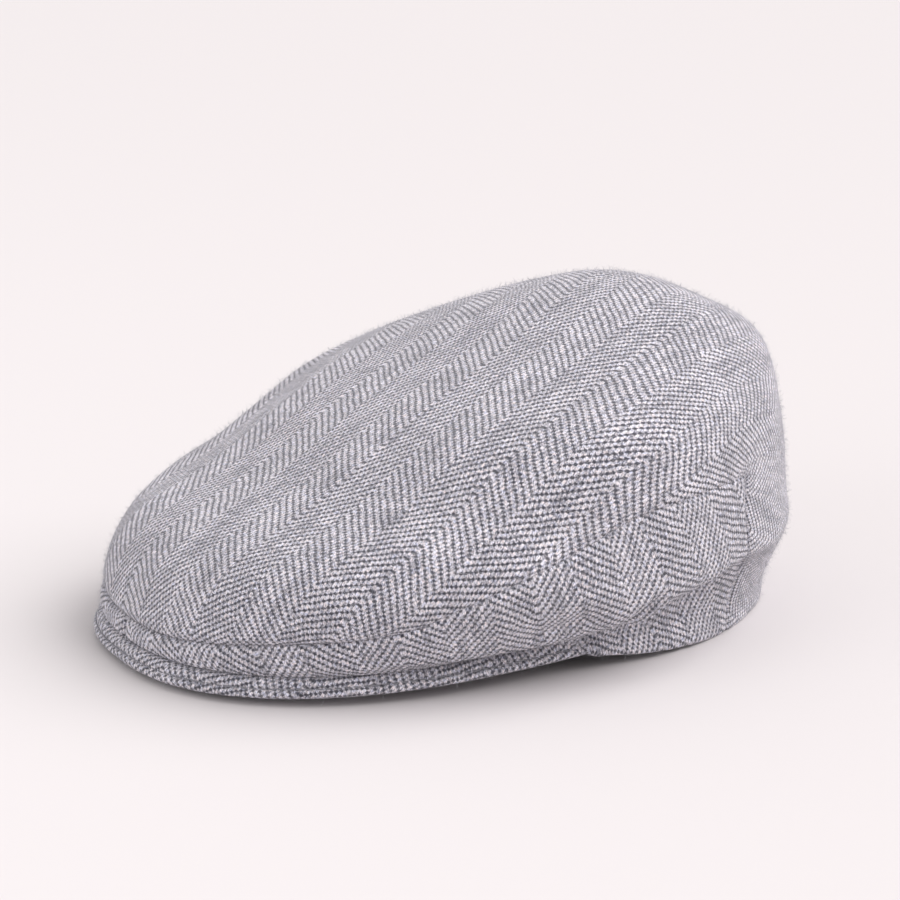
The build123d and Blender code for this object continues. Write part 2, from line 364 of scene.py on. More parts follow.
def lining_grid():
    """The lining: up from behind the sweatband, then a few millimetres inside the crown."""
    deg = np.arange(N_THETA) * 360 / N_THETA
    side = np.where(deg > 180, 360 - deg, deg)
    lift = rim_lift(opening(deg)[:, 1])
    first = monotone([0, 60, 100, 180], [70, 62, 56, 54])(side)
    nodes = [np.column_stack([opening(deg, 0.966), 9 + lift]),
             np.column_stack([opening(deg, 0.967), 31 + lift])]
    rows = 10
    for k in range(rows + 1):
        z = first + (HEIGHT - first) * math.sin(math.pi / 2 * k / rows)
        p = dome(deg, z)
        inward = np.array([0, 10.0, 35.0]) - p
        nodes.append(p + unit(inward) * LINING_GAP)
    fine = catmull(np.stack(nodes, axis=1), 12)
    low = resample(fine[:, :25], LINING_LOW)
    grid = np.concatenate([low, resample(fine[:, 24:], LINING_TOP)[:, 1:]], axis=1)
    grid[:, -1] = grid[:, -2].mean(axis=0)
    for _ in range(20):
        grid += 0.25 * (np.roll(grid, 1, 0) + np.roll(grid, -1, 0) - 2 * grid)
    return grid


LINING_GAP = 6.5
LINING_LOW, LINING_TOP = 49, 81
crown = Skin(crown_grid(), N_LOW - 1)
lining = Skin(lining_grid(), LINING_LOW - 1)

# ------------------------------------------------------------------ mesh helpers


def put_object(name, data):
    ob = bpy.data.objects.new(name, data)
    bpy.context.scene.collection.objects.link(ob)
    return ob


def mesh_object(name, verts, faces):
    me = bpy.data.meshes.new(name)
    me.from_pydata(verts, [], faces)
    me.update()
    return put_object(name, me)


def mesh_from_grid(name, grid, uv=None, flip=False, closed=False):
    """Object from an (n, m, 3) grid in mm; closed joins the last row to the first."""
    n, m = grid.shape[:2]
    verts = grid.reshape(-1, 3) * MM
    faces = []
    for i in range(n if closed else n - 1):
        k = (i + 1) % n
        for j in range(m - 1):
            f = (i * m + j, k * m + j, k * m + j + 1, i * m + j + 1)
            faces.append(f[::-1] if flip else f)
    ob = mesh_object(name, verts.tolist(), faces)
    ob.data.validate()
    ob.data.shade_smooth()
    if uv is not None:
        set_uv(ob, uv.reshape(-1, 2))
    return ob


def set_uv(ob, per_vertex):
    me = ob.data
    layer = me.uv_layers.get("weave") or me.uv_layers.new(name="weave")
    idx = np.empty(len(me.loops), dtype=np.int32)
    me.loops.foreach_get("vertex_index", idx)
    layer.data.foreach_set("uv", per_vertex[idx].astype(np.float32).ravel())


def get_uv(ob):
    me = ob.data
    idx = np.empty(len(me.loops), dtype=np.int32)
    me.loops.foreach_get("vertex_index", idx)
    flat = np.empty(len(me.loops) * 2, dtype=np.float32)
    me.uv_layers["weave"].data.foreach_get("uv", flat)
    out = np.zeros((len(me.vertices), 2))
    out[idx] = flat.reshape(-1, 2)
    return out


def solidify(ob, thickness, offset=-1.0):
    mod = ob.modifiers.new("cloth", "SOLIDIFY")
    mod.thickness = thickness * MM
    mod.offset = offset
    mod.use_even_offset = False


def finer(grid, factor):
    """Grid (n, m, k) upsampled by an integer factor with a smooth curve along both ways."""
    for axis in (0, 1):
        g = np.moveaxis(grid, axis, 0)
        p = np.concatenate([2 * g[:1] - g[1:2], g, 2 * g[-1:] - g[-2:-1]])
        n = len(g)
        q = np.arange((n - 1) * factor + 1) / factor
        k = np.minimum(q.astype(int), n - 2)
        t = (q - k).reshape((-1,) + (1,) * (g.ndim - 1))
        p0, p1, p2, p3 = p[k], p[k + 1], p[k + 2], p[k + 3]
        g = p1 + t * (p2 - p0) / 2 + t * t * (p0 - 2.5 * p1 + 2 * p2 - p3 / 2) + t**3 * (
            1.5 * (p1 - p2) + (p3 - p0) / 2
        )
        grid = np.moveaxis(g, 0, axis)
    return grid


def flat_pattern(grid, step, origin, along, span, turn=0.0):
    """UV in mm for a grid: a coarse copy is unwrapped with little stretch, then refined.

    origin, along and span are (i, j) grid places: UV 0, the +V direction, and a place with +U."""
    coarse = grid[::step, ::step]
    n, m = coarse.shape[:2]
    ob = mesh_from_grid("pattern", coarse)
    place = [(i // step) * m + j // step for i, j in (origin, along, span)]
    uv = flatten(ob, *place, turn)
    bpy.data.objects.remove(ob)
    return finer(uv.reshape(n, m, 2), step)


def comb(grid, uv, turn, step):
    """UV whose grain is turned by an angle that varies over the panel, with as little stretch as it can.

    Every edge of the grid asks for its old UV difference, turned; the least-squares answer comes from
    conjugate gradients on a coarse copy."""
    g, x, turn = grid[::step, ::step], uv[::step, ::step].copy(), turn[::step, ::step]
    turned = np.stack([np.stack([np.cos(turn), np.sin(turn)], -1),
                       np.stack([-np.sin(turn), np.cos(turn)], -1)], -2)
    weights, wanted = [], []
    for axis in (0, 1):
        low, high = (turned[:-1], turned[1:]) if axis == 0 else (turned[:, :-1], turned[:, 1:])
        half = (low + high) / 2
        half = half / np.sqrt(np.linalg.det(half))[..., None, None]
        wanted.append(np.einsum("...ab,...b->...a", half, np.diff(x, axis=axis)))
        length = np.linalg.norm(np.diff(g, axis=axis), axis=-1)
        weights.append(1 / np.maximum(length, 0.3)[..., None])

    def gather(edges):
        total = np.zeros_like(x)
        for axis, e in enumerate(edges):
            e = e * weights[axis]
            if axis == 0:
                total[1:] += e
                total[:-1] -= e
            else:
                total[:, 1:] += e
                total[:, :-1] -= e
        return total

    def spread(field):
        return gather([np.diff(field, axis=0), np.diff(field, axis=1)])

    rest = gather(wanted) - spread(x)
    way = rest.copy()
    size = (rest * rest).sum()
    for _ in range(1500):
        if size < 1e-9:
            break
        push = spread(way)
        far = size / (way * push).sum()
        x += far * way
        rest -= far * push
        size, last = (rest * rest).sum(), size
        way = rest + size / last * way
    return finer(x, step)


def flatten(ob, origin, along, span, turn=0.0):
    """Unwraps ob with little stretch; UV is in mm, origin vertex at 0, +V towards vertex along."""
    me = ob.data
    layer = me.uv_layers.get("weave") or me.uv_layers.new(name="weave")
    me.uv_layers.active = layer
    bpy.context.view_layer.objects.active = ob
    for o in bpy.context.selected_objects:
        o.select_set(False)
    ob.select_set(True)
    bpy.ops.object.mode_set(mode="EDIT")
    bpy.ops.mesh.select_all(action="SELECT")
    bpy.ops.uv.unwrap(method="MINIMUM_STRETCH", iterations=30, fill_holes=False,
                      correct_aspect=False, margin=0)
    bpy.ops.object.mode_set(mode="OBJECT")
    uv = get_uv(ob)
    co = np.array([v.co for v in me.vertices]) / MM
    edges = np.array([e.vertices[:] for e in me.edges])
    real = np.linalg.norm(co[edges[:, 0]] - co[edges[:, 1]], axis=1)
    drawn = np.linalg.norm(uv[edges[:, 0]] - uv[edges[:, 1]], axis=1)
    uv = uv * (real.sum() / drawn.sum())
    uv -= uv[origin]
    d = uv[along]
    a = math.atan2(d[0], d[1]) + turn
    rot = np.array([[math.cos(a), -math.sin(a)], [math.sin(a), math.cos(a)]])
    uv = uv @ rot.T
    if uv[span][0] < 0:
        uv[:, 0] *= -1
    set_uv(ob, uv)
    return uv


# ------------------------------------------------------------------ materials


class Nodes:
    """Short helper to wire shader nodes."""

    def __init__(self, material):
        material.use_nodes = True
        self.tree = material.node_tree
        self.tree.nodes.clear()
        self.out = self.tree.nodes.new("ShaderNodeOutputMaterial")

    def new(self, kind, **values):
        node = self.tree.nodes.new(kind)
        for key, value in values.items():
            setattr(node, key, value)
        return node

    def link(self, a, b):
        self.tree.links.new(a, b)

    def put(self, socket, value):
        if isinstance(value, bpy.types.NodeSocket):
            self.link(value, socket)
        else:
            socket.default_value = value

    def math(self, op, a, b=0.0, c=None):
        n = self.new("ShaderNodeMath", operation=op)
        self.put(n.inputs[0], a)
        self.put(n.inputs[1], b)
        if c is not None:
            self.put(n.inputs[2], c)
        return n.outputs[0]

    def remap(self, value, a, b, c, d, smooth=False):
        n = self.new("ShaderNodeMapRange", interpolation_type="SMOOTHSTEP" if smooth else "LINEAR")
        for socket, v in zip(n.inputs[:5], (value, a, b, c, d)):
            self.put(socket, v)
        return n.outputs[0]

    def noise(self, vector, scale, detail=2.0, rough=0.5):
        n = self.new("ShaderNodeTexNoise")
        self.put(n.inputs["Vector"], vector)
        n.inputs["Scale"].default_value = scale
        n.inputs["Detail"].default_value = detail
        n.inputs["Roughness"].default_value = rough
        return n.outputs["Fac"]

    def white(self, vector):
        n = self.new("ShaderNodeTexWhiteNoise", noise_dimensions="3D")
        self.put(n.inputs["Vector"], vector)
        return n.outputs["Value"]

    def combine(self, x, y, z=0.0):
        n = self.new("ShaderNodeCombineXYZ")
        for socket, v in zip(n.inputs, (x, y, z)):
            self.put(socket, v)
        return n.outputs[0]

    def mix(self, fac, a, b, blend="MIX"):
        n = self.new("ShaderNodeMix", data_type="RGBA", blend_type=blend)
        self.put(n.inputs[0], fac)
        self.put(n.inputs[6], a)
        self.put(n.inputs[7], b)
        return n.outputs[2]

    def ramp(self, fac, stops):
        n = self.new("ShaderNodeValToRGB")
        while len(n.color_ramp.elements) < len(stops):
            n.color_ramp.elements.new(0.5)
        for e, (pos, col) in zip(n.color_ramp.elements, stops):
            e.position = pos
            e.color = (*col, 1)
        self.put(n.inputs[0], fac)
        return n.outputs[0]

    def surface(self, color, rough, height=None, bump=0.5, distance=0.0003, **sockets):
        p = self.new("ShaderNodeBsdfPrincipled")
        self.put(p.inputs["Base Color"], color)
        self.put(p.inputs["Roughness"], rough)
        for key, value in sockets.items():
            p.inputs[key.replace("_", " ")].default_value = value
        if height is not None:
            b = self.new("ShaderNodeBump")
            b.inputs["Strength"].default_value = bump
            b.inputs["Distance"].default_value = distance
            self.put(b.inputs["Height"], height)
            self.link(b.outputs[0], p.inputs["Normal"])
        self.link(p.outputs[0], self.out.inputs[0])
        return p


YARN = 1.10  # mm between neighbouring yarns
ENDS = 14  # yarns in one herringbone column


def tweed_material():
    """Herringbone 2/1 twill: thick pale warp, and dark weft that shows as rows of small dots."""
    m = bpy.data.materials.new("herringbone_tweed")
    n = Nodes(m)
    uv = n.new("ShaderNodeUVMap", uv_map="weave").outputs[0]

    def wobble(vector, scale, amount):
        w = n.new("ShaderNodeTexNoise", noise_dimensions="3D")
        n.put(w.inputs["Vector"], uv)
        w.inputs["Scale"].default_value = scale
        w.inputs["Detail"].default_value = 2
        add = n.new("ShaderNodeVectorMath", operation="MULTIPLY_ADD")
        n.link(w.outputs["Color"], add.inputs[0])
        add.inputs[1].default_value = (amount, amount, 0)
        n.link(vector, add.inputs[2])
        return add.outputs[0]

    place = wobble(wobble(uv, 0.16, 1.5), 1.1, 0.34)
    sep = n.new("ShaderNodeSeparateXYZ")
    n.link(place, sep.inputs[0])
    u = n.math("DIVIDE", sep.outputs[0], YARN)
    v = n.math("DIVIDE", sep.outputs[1], YARN)
    i, j = n.math("FLOOR", u), n.math("FLOOR", v)
    fu, fv = n.math("FRACT", u), n.math("FRACT", v)
    column = n.math("FLOOR", n.math("DIVIDE", n.math("ADD", i, 0.5), ENDS))
    odd = n.math("PINGPONG", column, 1.0)
    turn = n.math("MULTIPLY_ADD", odd, -2.0, 1.0)
    step = n.math("MULTIPLY_ADD", i, turn, n.math("MULTIPLY_ADD", odd, 1.0, j))
    phase = n.math("FLOORED_MODULO", step, 3.0)
    # place along the visible float of this cell, 0 to 1
    warp_up = n.math("LESS_THAN", phase, 1.5)
    along_warp = n.math("DIVIDE", n.math("ADD", phase, fv), 2.0)

    fibre = n.noise(uv, 2.0, 4.0, 0.75)
    fuzz = n.noise(n.combine(n.math("MULTIPLY_ADD", sep.outputs[1], 0.5, sep.outputs[0]),
                             n.math("MULTIPLY", sep.outputs[1], 0.45)), 2.6, 3.0, 0.7)
    cell = n.white(n.combine(i, j, 7.0))
    end = n.white(n.combine(i, n.math("FLOOR", n.math("DIVIDE", v, 11.0)), 3.0))
    pick = n.white(n.combine(n.math("FLOOR", n.math("DIVIDE", u, 11.0)), j, 5.0))

    def squared(t, half):
        d = n.math("DIVIDE", n.math("SUBTRACT", t, 0.5), half)
        return n.math("MULTIPLY", d, d)

    rough_edge = n.math("MULTIPLY", n.math("SUBTRACT", fibre, 0.5), 3.5)
    # painted light: every other herringbone column gets wider dots, standing in for light from the right
    # across the twill relief
    oval = n.math("ADD", squared(fu, 0.64), squared(fv, n.math("MULTIPLY_ADD", odd, 0.20, 0.40)))
    oval = n.math("ADD", oval, rough_edge)
    hole = n.remap(oval, 0.10, 1.30, 1.0, 0.0, True)
    hole = n.math("MULTIPLY", hole, n.math("SUBTRACT", 1.0, warp_up))
    # painted shade: the dots of every other column are also darker, for the same light across the twill;
    # 0.60 is the dots' own strength
    deep = n.math("MULTIPLY_ADD", odd, 0.10, 0.60)
    hole = n.math("MULTIPLY", hole, n.math("MULTIPLY_ADD", cell, 0.35, deep))
    warp_edge = n.math("ADD", squared(fu, 0.60), squared(along_warp, 0.60))
    warp_round = n.math("MULTIPLY", n.remap(warp_edge, 0.0, 1.3, 1.0, 0.0, True), warp_up)

    loft = n.remap(fuzz, 0.34, 0.68, 0.0, 1.0)
    shade = n.math("MULTIPLY_ADD", n.math("SUBTRACT", end, 0.5), 0.26, loft)
    shade = n.math("MULTIPLY_ADD", n.math("SUBTRACT", pick, 0.5), 0.16, shade)
    shade = n.math("MULTIPLY_ADD", n.math("SUBTRACT", cell, 0.5), 0.16, shade)
    # painted shade: each warp float is drawn lighter in its middle and darker towards its edges and ends,
    # the light and shade of a round yarn
    shade = n.math("MULTIPLY_ADD", n.math("SUBTRACT", warp_round, 0.5), 0.30, shade)
    pale = n.ramp(shade, [(0.12, (0.17, 0.173, 0.205)), (0.45, (0.48, 0.472, 0.515)),
                          (0.72, (0.83, 0.805, 0.845)), (1.0, (1.0, 0.965, 0.985))])
    dark = n.ramp(n.math("MULTIPLY_ADD", cell, 0.35, n.math("MULTIPLY", fibre, 0.65)),
                  [(0.20, (0.030, 0.030, 0.042)), (0.55, (0.070, 0.071, 0.088)),
                   (0.90, (0.17, 0.17, 0.20))])
    # painted shade: where the warp lies under the weft its pale yarn is dimmed to 60 percent, the shade
    # between the raised floats
    under = n.math("MULTIPLY_ADD", warp_up, 0.40, 0.60)
    pale = n.mix(1.0, pale, n.combine(under, under, under), "MULTIPLY")
    color = n.mix(hole, pale, dark)
    # stray pink, blue and charcoal fibres blended into the yarns
    fleck = n.noise(place, 0.75, 3.0, 0.7)
    tint = n.ramp(fleck, [(0.32, (0.84, 0.90, 1.12)), (0.50, (1.0, 0.985, 1.02)),
                          (0.68, (1.10, 0.97, 0.93))])
    color = n.mix(0.75, color, tint, "MULTIPLY")
    slow = n.noise(uv, 0.05, 3.0, 0.6)
    worn = n.remap(slow, 0.3, 0.7, 0.88, 1.08)
    color = n.mix(1.0, color, n.combine(worn, worn, worn), "MULTIPLY")
    height = n.math("MULTIPLY_ADD", warp_round, 0.45, n.math("MULTIPLY", hole, -0.85))
    height = n.math("MULTIPLY_ADD", loft, 0.40, n.math("MULTIPLY_ADD", fibre, 0.45, height))
    n.surface(color, n.remap(fibre, 0.2, 0.8, 0.88, 1.0), height, 0.85, 0.00042,
              Sheen_Weight=0.30, Sheen_Roughness=0.5, Specular_IOR_Level=0.18)
    return m


def plain_cloth(name, color, dark, scale, bump_m, **sockets):
    """Fine plain weave or satin for lining, band, label and thread; needs no UV."""
    m = bpy.data.materials.new(name)
    n = Nodes(m)
    obj = n.new("ShaderNodeTexCoord").outputs["Object"]
    fine = n.noise(obj, scale, 4.0, 0.65)
    slow = n.noise(obj, scale / 60, 3.0, 0.6)
    fac = n.math("MULTIPLY_ADD", slow, 0.5, n.math("MULTIPLY", fine, 0.5))
    col = n.ramp(fac, [(0.3, dark), (0.7, color)])
    rough = sockets.pop("rough", 0.8)
    n.surface(col, n.remap(fine, 0.2, 0.8, rough - 0.06, rough + 0.08), fine, 0.6, bump_m, **sockets)
    return m


tweed = tweed_material()
lining_mat = plain_cloth("satin_lining", (0.085, 0.09, 0.115), (0.045, 0.048, 0.062), 2600, 0.00008,
                         rough=0.38, Sheen_Weight=0.3, Sheen_Roughness=0.3)
band_mat = plain_cloth("band_cotton", (0.055, 0.056, 0.065), (0.022, 0.023, 0.028), 2200, 0.00012,
                       rough=0.85, Sheen_Weight=0.2)
thread_mat = plain_cloth("thread", (0.30, 0.30, 0.33), (0.16, 0.16, 0.18), 6000, 0.00006, rough=0.7)
label_mat = plain_cloth("label_tape", (0.72, 0.71, 0.68), (0.52, 0.51, 0.49), 3200, 0.0001, rough=0.75)
board_mat = plain_cloth("board_sheet", (0.62, 0.60, 0.55), (0.5, 0.48, 0.44), 900, 0.00005, rough=0.55)


def finish_piece(ob, material, slot, *nodes):
    ob.data.materials.clear()
    ob.data.materials.append(material)
    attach(ob, "root")
    if nodes:
        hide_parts(*nodes)
    return ob


# ------------------------------------------------------------------ crown panels


def seam_sink(dist, depth=1.3, ridge=0.35):
    """Offset along the normal near a sewn edge: a valley at the seam and a soft ridge beside it."""
    return -depth * np.exp(-((dist / 1.1) ** 2)) + ridge * bump(dist, 3.6, 2.0)


def cloth_wave(p):
    """Slow unevenness of the pressed cloth, in mm along the normal."""
    return 0.9 * noise(p, 62, 3, 2) + 0.25 * noise(p, 19, 9, 1)


def fold_line(p, start, end, width, depth):
    """A soft crease between two places seen from the side (y, z), for both sides of the cap."""
    a, b = np.array(start, float), np.array(end, float)
    q = p[..., 1:] - a
    d = b - a
    length = np.hypot(*d)
    t = (q @ d) / length**2
    off = (q[..., 0] * d[1] - q[..., 1] * d[0]) / length
    along = smoothstep(t, -0.15, 0.2) * (1 - smoothstep(t, 0.75, 1.15))
    return along * (depth * bump(off, 0, width) - 0.45 * depth * bump(off, width * 2.1, width * 1.4))


def notch_folds(p):
    """Creases where the side bulge is pulled in behind the end of the peak."""
    return (fold_line(p, (-18, 9), (4, 31), 2.8, -2.4) + fold_line(p, (2, 22), (30, 33), 4.0, -1.4)
            + fold_line(p, (24, 10), (40, 34), 4.5, -1.0) + fold_line(p, (-48, 19), (-20, 27), 3.6, -1.3)
            + fold_line(p, (-12, 36), (26, 47), 6.0, -0.9))


def disc_angle(x, y):
    """Square grid to disc: returns (angle in degrees from the front, radius 0..1)."""
    dx = x * np.sqrt(1 - y * y / 2)
    dy = y * np.sqrt(1 - x * x / 2)
    r = np.minimum(np.hypot(dx, dy), 1)
    a = np.degrees(np.arctan2(dx, -dy))
    mag = np.abs(a)
    bent = monotone([0, 45, 90, 135, 180], [0, 58, 92, BACK_SEAM, 180])(mag)
    return np.sign(a) * bent, r


def to_border(grid):
    """Distance in mm from each place of a grid to its three sewn edges, or 99 far in from them."""
    border = np.concatenate([grid[:, 0], grid[0], grid[-1]])
    n, m = grid.shape[:2]
    near = np.zeros((n, m), bool)
    near[:, : m // 12] = near[: n // 8] = near[-n // 8 :] = True
    dist = np.full((n, m), 99.0)
    points = grid[near]
    best = np.full(len(points), 99.0)
    for k in range(0, len(border), 48):
        d = np.linalg.norm(points[:, None] - border[None, k : k + 48], axis=-1).min(axis=1)
        best = np.minimum(best, d)
    dist[near] = best
    return dist


cut_size = {}  # flat width and length of a panel whose UV was combed afterwards
GRAIN_TURN = 52.0  # degrees the grain is pulled round between the front and the back of the crown
GRAIN_FROM = (-125.0, 130.0)  # y in mm where the turn starts and ends
GRAIN_SCALE = 1.08  # makes up for what the combing takes off the weave's size
SIDE_GRAIN = math.radians(-25)


def top_panel(name, skin, div, thickness, relief):
    """One panel over the whole top, with a tail down the back between the two back seams."""
    across, along, tail = 200 // div, 216 // div, 72 // div
    gx, gy = np.meshgrid(np.linspace(-1, 1, across + 1), np.linspace(-1, 1, along + 1), indexing="ij")
    deg, r = disc_angle(gx, gy)
    row = skin.last - (skin.last - skin.low) * r
    tail_row = np.linspace(skin.low, 0, tail + 1)[1:]
    deg = np.concatenate([deg, np.repeat(deg[:, -1:], tail, axis=1)], axis=1)
    row = np.concatenate([row, np.repeat(tail_row[None], across + 1, axis=0)], axis=1)
    grid, nrm = skin.at(deg, row)
    grid = grid + nrm * relief(grid, to_border(grid))[..., None]
    mid = across // 2
    uv = flat_pattern(grid, 4 // div, (mid, 4), (mid, along // 2), (across * 3 // 4, along // 2))
    cut_size[name] = np.ptp(uv.reshape(-1, 2), axis=0)
    turn = np.radians(GRAIN_TURN) * smoothstep(grid[..., 1], *GRAIN_FROM)
    uv = comb(grid, uv, turn, 4 // div) * GRAIN_SCALE
    ob = mesh_from_grid(name, grid, uv)
    solidify(ob, thickness)
    return ob


def side_panel(name, skin, div, sign, thickness, relief):
    """Side panel from the middle of the front round to the back seam; sign +1 is the left."""
    cols = 300 // div
    gd, gr = np.meshgrid(np.linspace(0, BACK_SEAM, cols + 1), np.arange(skin.low + 1.0), indexing="ij")
    grid, nrm = skin.at(sign * gd, gr)
    up = np.cumsum(np.linalg.norm(np.diff(grid, axis=1, prepend=grid[:, :1]), axis=-1), axis=1)
    fore = np.cumsum(np.linalg.norm(np.diff(grid, axis=0, prepend=grid[:1]), axis=-1), axis=0)
    dist = np.minimum(up[:, -1:] - up, np.minimum(fore, fore[-1:] - fore))
    grid = grid + nrm * relief(grid, dist)[..., None]
    k = cols * 4 // 5
    uv = flat_pattern(grid, 4 // div, (k, skin.low), (k, 0), (k + 20 // div, skin.low), SIDE_GRAIN)
    ob = mesh_from_grid(name, grid, uv, flip=sign < 0)
    solidify(ob, thickness)
    return ob


def sewn_edge(p, dist):
    """The seam bites deep round the front and lies flat along the sides and the back."""
    return seam_sink(dist) * (1 - 0.62 * smoothstep(p[..., 1], -110, -70))


def tweed_top_relief(p, dist):
    return sewn_edge(p, dist) + cloth_wave(p) * smoothstep(dist, 0, 12)


def tweed_side_relief(p, dist):
    return sewn_edge(p, dist) + (0.5 * cloth_wave(p) + notch_folds(p)) * smoothstep(dist, 0, 9)


def lining_relief(p, dist):
    soft = 1.3 * noise(p, 34, 41, 2) + 0.5 * noise(p * [1, 1, 0.5], 13, 57, 2)
    return seam_sink(dist, 0.9, 0.2) + soft * smoothstep(dist, 0, 8)


CLOTH, SATIN = 1.9, 0.35
SLOTS = [("top", "top_panel", "lining_top"), ("left", "left_side_panel", "lining_left_side"),
         ("right", "right_side_panel", "lining_right_side")]
sheets = []
for side, tweed_node, lining_node in SLOTS:
    if side == "top":
        outer = top_panel("tweed_top_panel", crown, 1, CLOTH, tweed_top_relief)
        inner = top_panel("lining_top_panel", lining, 2, SATIN, lining_relief)
    else:
        sign = 1 if side == "left" else -1
        outer = side_panel("tweed_side_" + side, crown, 1, sign, CLOTH, tweed_side_relief)
        inner = side_panel("lining_side_" + side, lining, 2, sign, SATIN, lining_relief)
    finish_piece(outer, tweed, "tweed", tweed_node)
    finish_piece(inner, lining_mat, "lining", lining_node)
    sheets += [outer, inner]


# ------------------------------------------------------------------ peak

EDGE_ROLL = 18  # mm that the rolled edge's section reaches in
PEAK_CLOTH = 1.2
# cross-section at the edge: (outward offset, height above the peak's underside)
PEAK_TOP = [(-0.5, 0.4), (0.0, 1.1), (0.1, 1.9), (-0.3, 2.7), (-1.1, 3.1), (-1.25, 3.5), (-1.1, 4.1),
            (-1.6, 5.4), (-3.0, 6.4), (-5.5, 6.7), (-11.0, 6.6), (-18.0, 6.4)]
PEAK_LOW = [(-0.5, 0.5), (-1.4, 0.1), (-2.2, 0.35), (-3.2, 0.05), (-6.0, 0.0), (-12.0, 0.0), (-18.0, 0.0)]


def edge_and_outward(t):
    """Points of the peak's outer edge and the outward direction there, in plan."""
    edge = peak_outline(t)
    tangent = unit(np.gradient(edge, axis=0))
    outward = np.stack([tangent[:, 1], -tangent[:, 0]], 1)
    outward *= np.sign((outward * (edge - [0, -40])).sum(1))[:, None]
    return edge, outward


def peak_half(section, last_height, under):
    """One cover of the peak, swept round its edge and carried in to the head opening."""
    count = 361
    t = np.linspace(-1, 1, count)
    edge, outward = edge_and_outward(t)
    inner_deg = t * 90
    inner = opening(inner_deg, 0.962 if under else 1.0)
    room = np.linalg.norm(edge - inner, axis=1)
    fine = catmull(np.array([[o, 0, h] for o, h in section], float)[None], 6)[0]
    fine = fine[:, [0, 2]]
    limit = np.clip(room * 0.72, 0.8, EDGE_ROLL)
    nodes = []
    for off, h in fine:
        # squeeze the section where the peak narrows to its ends
        into = np.where(limit < EDGE_ROLL, limit * (1 - np.exp(off / limit * 1.1)), -off)
        p = edge - outward * into[:, None]
        nodes.append(np.concatenate([p, np.full((count, 1), h)], axis=1))
    last = nodes[-1]
    steps = 22
    for s in range(1, steps + 1):
        f = s / steps
        p = last[:, :2] * (1 - f) + inner * f
        h = last[:, 2] * (1 - f) + last_height * f
        nodes.append(np.concatenate([p, h[:, None]], axis=1))
    grid = np.stack(nodes, axis=1)
    grid[..., 2] += peak_under(grid[..., 0], grid[..., 1])
    wave = 0.35 * noise(grid, 30, 21 + under, 2)
    grid[..., 2] += wave * (0.3 if under else 1)
    return grid


def peak_pieces():
    top = peak_half(PEAK_TOP, 6.2, False)
    low = peak_half(PEAK_LOW, 0.3, True)
    obs = []
    for name, grid, flip in (("tweed_peak_upper", top, False), ("tweed_peak_under", low, True)):
        centre = grid.shape[0] // 2
        uv = flat_pattern(grid, 2, (centre, 0), (centre, grid.shape[1] - 1), (centre + 40, 0))
        ob = mesh_from_grid(name, grid, uv, flip=flip)
        solidify(ob, PEAK_CLOTH)
        obs.append(ob)
    return obs


peak_upper, peak_under_ob = peak_pieces()
finish_piece(peak_upper, tweed, "tweed", "peak_top_cover")
finish_piece(peak_under_ob, tweed, "tweed", "peak_under_cover")
sheets += [peak_upper, peak_under_ob]

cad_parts["peak_board"].data.materials.clear()
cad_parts["peak_board"].data.materials.append(board_mat)


# ------------------------------------------------------------------ stitches


def stitch_row(name, path, normals, length, gap, width, material, slot, *nodes):
    """Row of separate lock stitches along a path: each dips into the cloth at both ends."""
    step = np.linalg.norm(np.diff(path, axis=0), axis=1)
    s = np.concatenate([[0], np.cumsum(step)])
    count = int(s[-1] / (length + gap))
    sides, rings = 8, 9
    verts, faces = [], []
    for k in range(count):
        start = (k + 0.5) * (length + gap) - length / 2 + rng.uniform(-0.12, 0.12)
        here = np.linspace(start, start + length, rings)
        centre = np.stack([np.interp(here, s, path[:, a]) for a in range(3)], 1)
        out = unit(np.stack([np.interp(here, s, normals[:, a]) for a in range(3)], 1))
        ahead = unit(np.gradient(centre, axis=0))
        across = np.cross(ahead, out)
        t = np.linspace(-1, 1, rings)
        radius = width / 2 * np.sqrt(np.clip(1 - (0.93 * t) ** 4, 0, 1))
        lifted = centre + out * (0.16 * width + 0.42 * width * (1 - t**2))[:, None]
        lifted += across * (0.22 * width * t)[:, None]
        base = len(verts)
        for r in range(rings):
            for q in range(sides):
                a = 2 * math.pi * (q + 0.35 * r) / sides
                verts.append(lifted[r] + radius[r] * (across[r] * math.cos(a) + out[r] * math.sin(a) * 0.8))
        for r in range(rings - 1):
            for q in range(sides):
                q1 = (q + 1) % sides
                v = base + r * sides
                faces.append((v + q, v + q1, v + sides + q1, v + sides + q))
        faces.append(tuple(base + q for q in range(sides))[::-1])
        faces.append(tuple(base + (rings - 1) * sides + q for q in range(sides)))
    ob = mesh_object(name, (np.array(verts) * MM).tolist(), faces)
    ob.data.shade_smooth()
    return finish_piece(ob, material, slot, *nodes)


def peak_edge_path(inset, height, ends=0.97):
    """Line round the peak a little way in from its edge, at a height above the underside."""
    t = np.linspace(-ends, ends, 400)
    edge, outward = edge_and_outward(t)
    p = edge - outward * inset
    return np.column_stack([p, peak_under(p[:, 0], p[:, 1]) + height]), np.column_stack([outward, 0 * t])


PEAK_STITCH = 2.5, 0.7, 0.55  # length, gap and width in mm
BAND_STITCH = 2.4, 0.9, 0.45
path, facing = peak_edge_path(1.15, 3.5)
stitch_row("peak_edge_stitches", path, facing, *PEAK_STITCH, thread_mat, "thread", "peak_upper_topstitch")
path, facing = peak_edge_path(2.3, 0.05)
facing[:] = (0, 0, -1)
stitch_row("peak_under_stitches", path, facing, *PEAK_STITCH, thread_mat, "thread", "peak_lower_topstitch")

# ------------------------------------------------------------------ sweatband and label

BAND_IN = 0.944  # the band's inner face, as a share of the opening
BAND_HEIGHT = 29.8
band_foot = monotone([-200, -120, -14, 60, 200], [5.0, 5.2, 6.8, 1.2, 1.2])


